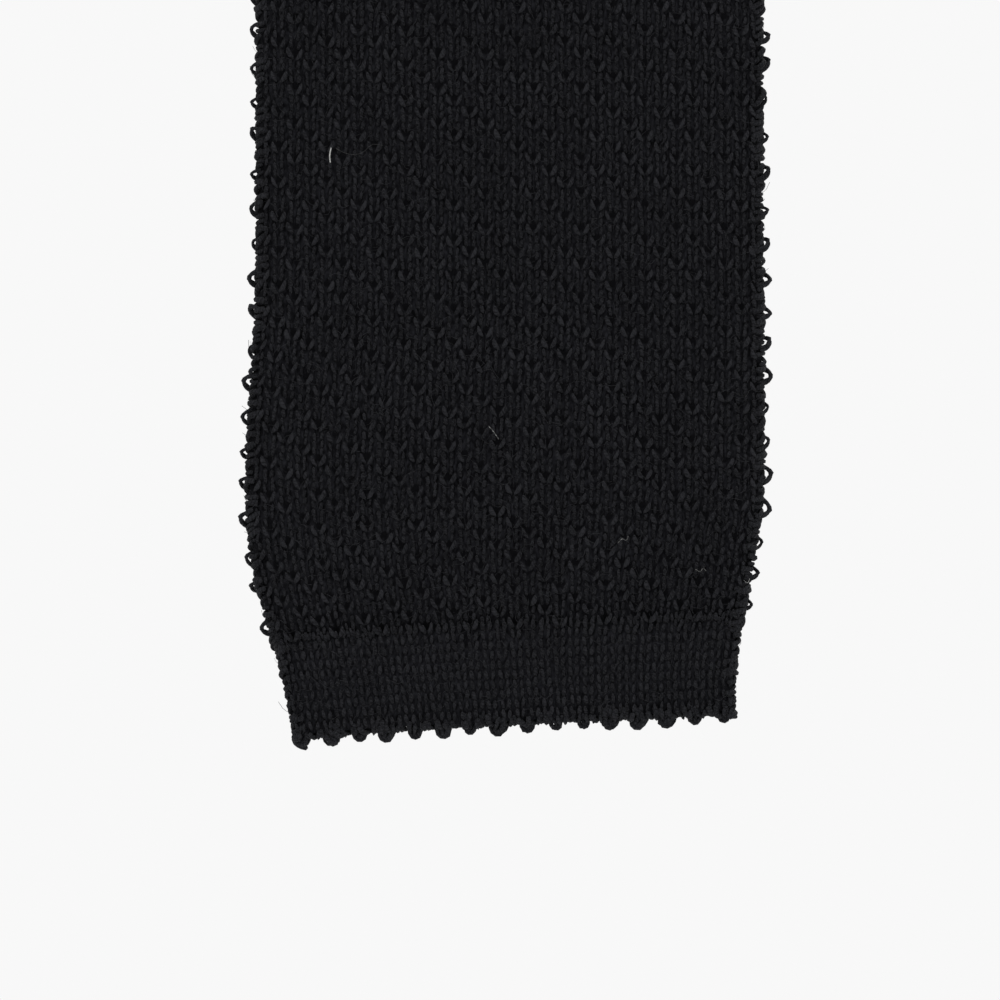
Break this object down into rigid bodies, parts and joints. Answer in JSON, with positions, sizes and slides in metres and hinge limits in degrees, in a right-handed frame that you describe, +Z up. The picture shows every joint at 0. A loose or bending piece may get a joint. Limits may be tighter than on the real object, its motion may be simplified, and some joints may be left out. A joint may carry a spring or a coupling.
{
  "type": "knitted necktie",
  "caption": "Straight-ended knitted necktie hanging over a rail, with a lattice knit body, plain hem bands, picot ends, scalloped edges, a keeper and a stay tape.",
  "frame": {"origin": "on the axis of the rail that the neck of the tie is folded over", "axes": "+Z up, +X along the rail and to the right when the blade's face is seen, -Y the way the blade's face looks, with the tail behind it towards +Y"},
  "size_m": [0.0614, 0.0286, 0.7742],
  "materials": {
    "knit": "matte near-black knitted wool and silk yarn",
    "stay_tape": "black woven ribbon",
    "label_satin": "blank black woven satin",
    "sewing_thread": "black sewing thread"
  },
  "bodies": {
    "neck": {"neck_front_ply": "knit", "neck_back_ply": "knit", "neck_left_edge": "knit", "neck_right_edge": "knit", "neck_stay_tape": "stay_tape"},
    "blade_upper": {"blade_upper_front_ply": "knit", "blade_upper_back_ply": "knit", "blade_upper_left_edge": "knit", "blade_upper_right_edge": "knit", "blade_stay_tape": "stay_tape"},
    "blade_lower": {"blade_lower_front_ply": "knit", "blade_lower_back_ply": "knit", "blade_lower_left_edge": "knit", "blade_lower_right_edge": "knit", "keeper_label": "label_satin", "keeper_left_tack": "sewing_thread", "keeper_right_tack": "sewing_thread", "care_label_stitches": "sewing_thread"},
    "blade_end": {"blade_end_front_ply": "knit", "blade_end_back_ply": "knit", "blade_end_left_edge": "knit", "blade_end_right_edge": "knit", "blade_hem_front_band": "knit", "blade_hem_back_band": "knit", "blade_hem_picot_edge": "knit"},
    "care_label": {"care_label": "label_satin"},
    "tail_upper": {"tail_upper_front_ply": "knit", "tail_upper_back_ply": "knit", "tail_upper_left_edge": "knit", "tail_upper_right_edge": "knit", "tail_stay_tape": "stay_tape"},
    "tail_end": {"tail_end_front_ply": "knit", "tail_end_back_ply": "knit", "tail_end_left_edge": "knit", "tail_end_right_edge": "knit", "tail_hem_front_band": "knit", "tail_hem_back_band": "knit", "tail_hem_picot_edge": "knit"}
  },
  "joints": [
    {"name": "blade_swing", "type": "hinge", "parent": "neck", "child": "blade_upper", "pos_m": [0, -0.0123, -0.04], "axis": [-1, 0, 0], "range_deg": [0, 85]},
    {"name": "blade_bend", "type": "hinge", "parent": "blade_upper", "child": "blade_lower", "pos_m": [0, -0.0123, -0.36], "axis": [-1, 0, 0], "range_deg": [0, 90]},
    {"name": "blade_end_bend", "type": "hinge", "parent": "blade_lower", "child": "blade_end", "pos_m": [0, -0.0123, -0.62], "axis": [-1, 0, 0], "range_deg": [-20, 90]},
    {"name": "care_label_flip", "type": "hinge", "parent": "blade_lower", "child": "care_label", "pos_m": [0, -0.00975, -0.5876], "axis": [1, 0, 0], "range_deg": [0, 120]},
    {"name": "tail_swing", "type": "hinge", "parent": "neck", "child": "tail_upper", "pos_m": [0, 0.0123, -0.04], "axis": [1, 0, 0], "range_deg": [0, 85]},
    {"name": "tail_bend", "type": "hinge", "parent": "tail_upper", "child": "tail_end", "pos_m": [0, 0.0123, -0.33], "axis": [1, 0, 0], "range_deg": [0, 90]}
  ]
}
